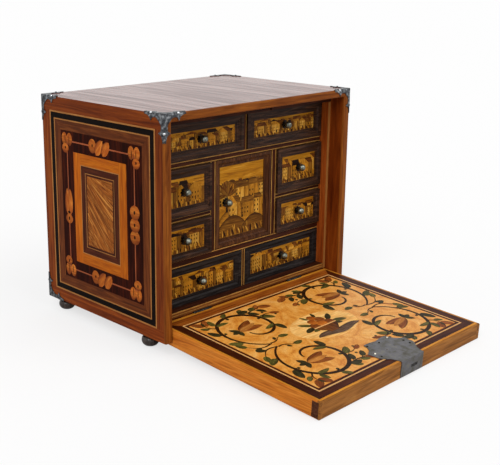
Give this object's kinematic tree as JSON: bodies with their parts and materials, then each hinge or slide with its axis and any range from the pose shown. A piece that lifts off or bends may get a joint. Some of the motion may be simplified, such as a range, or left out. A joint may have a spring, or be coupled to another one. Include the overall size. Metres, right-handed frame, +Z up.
{
  "type": "collectors cabinet",
  "caption": "Table cabinet of marquetry on walnut, with a hinged fall front over small drawers and a central cupboard door, on bun feet.",
  "frame": {"origin": "middle of the bounding box at the level of the feet, with the fall open", "axes": "+Z up, +Y from the front of the open fall to the back of the cabinet, +X to the right as seen from the front"},
  "size_m": [0.4548, 0.6194, 0.3934],
  "materials": {
    "walnut": "polished",
    "dark_wood": "polished",
    "ebonised_wood": "polished",
    "marquetry": "polished",
    "drawer_wood": "plain",
    "iron": "tinned, worn"
  },
  "bodies": {
    "carcass": {"top_board": "walnut", "bottom_board": "walnut", "left_side_board": "walnut", "right_side_board": "walnut", "back_board": "walnut", "front_edge_beads": "walnut", "left_lining": "walnut", "right_lining": "walnut", "top_lining": "walnut", "bottom_lining": "walnut", "upper_divider": "dark_wood", "lower_divider": "dark_wood", "left_partition": "dark_wood", "right_partition": "dark_wood", "left_shelf": "dark_wood", "right_shelf": "dark_wood", "top_row_divider": "dark_wood", "bottom_row_divider": "dark_wood", "bun_feet": "ebonised_wood", "corner_mounts": "iron", "mount_nails": "iron", "carcass_hinge_leaves": "iron", "hinge_pins": "iron", "strike_plate": "iron"},
    "fall": {"fall_board": "marquetry", "fall_lipping": "walnut", "lock_plate": "iron", "lock_case": "iron", "lock_nails": "iron", "fall_hinge_leaves": "iron"},
    "lock_bolt": {"lock_bolt": "iron"},
    "door": {"door_board": "marquetry", "door_moulding": "ebonised_wood", "door_knob": "iron", "door_pivot_pins": "iron"},
    "top_left_drawer": {"top_left_drawer_box": "drawer_wood", "top_left_drawer_front": "marquetry", "top_left_drawer_knob": "iron"},
    "top_right_drawer": {"top_right_drawer_box": "drawer_wood", "top_right_drawer_front": "marquetry", "top_right_drawer_knob": "iron"},
    "upper_left_drawer": {"upper_left_drawer_box": "drawer_wood", "upper_left_drawer_front": "marquetry", "upper_left_drawer_knob": "iron"},
    "upper_right_drawer": {"upper_right_drawer_box": "drawer_wood", "upper_right_drawer_front": "marquetry", "upper_right_drawer_knob": "iron"},
    "lower_left_drawer": {"lower_left_drawer_box": "drawer_wood", "lower_left_drawer_front": "marquetry", "lower_left_drawer_knob": "iron"},
    "lower_right_drawer": {"lower_right_drawer_box": "drawer_wood", "lower_right_drawer_front": "marquetry", "lower_right_drawer_knob": "iron"},
    "bottom_left_drawer": {"bottom_left_drawer_box": "drawer_wood", "bottom_left_drawer_front": "marquetry", "bottom_left_drawer_knob": "iron"},
    "bottom_right_drawer": {"bottom_right_drawer_box": "drawer_wood", "bottom_right_drawer_front": "marquetry", "bottom_right_drawer_knob": "iron"}
  },
  "joints": [
    {"name": "fall_hinge", "type": "hinge", "parent": "carcass", "child": "fall", "pos_m": [0, 0.02007, 0.046], "axis": [1, 0, 0], "range_deg": [-92.99, 0]},
    {"name": "lock_bolt_slide", "type": "slide", "parent": "fall", "child": "lock_bolt", "axis": [0, -0.9986, -0.0521], "range_m": [0, 0.008]},
    {"name": "door_hinge", "type": "hinge", "parent": "carcass", "child": "door", "pos_m": [0.0651, 0.03947, 0.138], "axis": [0, 0, 1], "range_deg": [0, 90]},
    {"name": "top_left_drawer_slide", "type": "slide", "parent": "carcass", "child": "top_left_drawer", "axis": [0, -1, 0], "range_m": [0, 0.19]},
    {"name": "top_right_drawer_slide", "type": "slide", "parent": "carcass", "child": "top_right_drawer", "axis": [0, -1, 0], "range_m": [0, 0.19]},
    {"name": "upper_left_drawer_slide", "type": "slide", "parent": "carcass", "child": "upper_left_drawer", "axis": [0, -1, 0], "range_m": [0, 0.19]},
    {"name": "upper_right_drawer_slide", "type": "slide", "parent": "carcass", "child": "upper_right_drawer", "axis": [0, -1, 0], "range_m": [0, 0.19]},
    {"name": "lower_left_drawer_slide", "type": "slide", "parent": "carcass", "child": "lower_left_drawer", "axis": [0, -1, 0], "range_m": [0, 0.19]},
    {"name": "lower_right_drawer_slide", "type": "slide", "parent": "carcass", "child": "lower_right_drawer", "axis": [0, -1, 0], "range_m": [0, 0.19]},
    {"name": "bottom_left_drawer_slide", "type": "slide", "parent": "carcass", "child": "bottom_left_drawer", "axis": [0, -1, 0], "range_m": [0, 0.19]},
    {"name": "bottom_right_drawer_slide", "type": "slide", "parent": "carcass", "child": "bottom_right_drawer", "axis": [0, -1, 0], "range_m": [0, 0.19]}
  ]
}
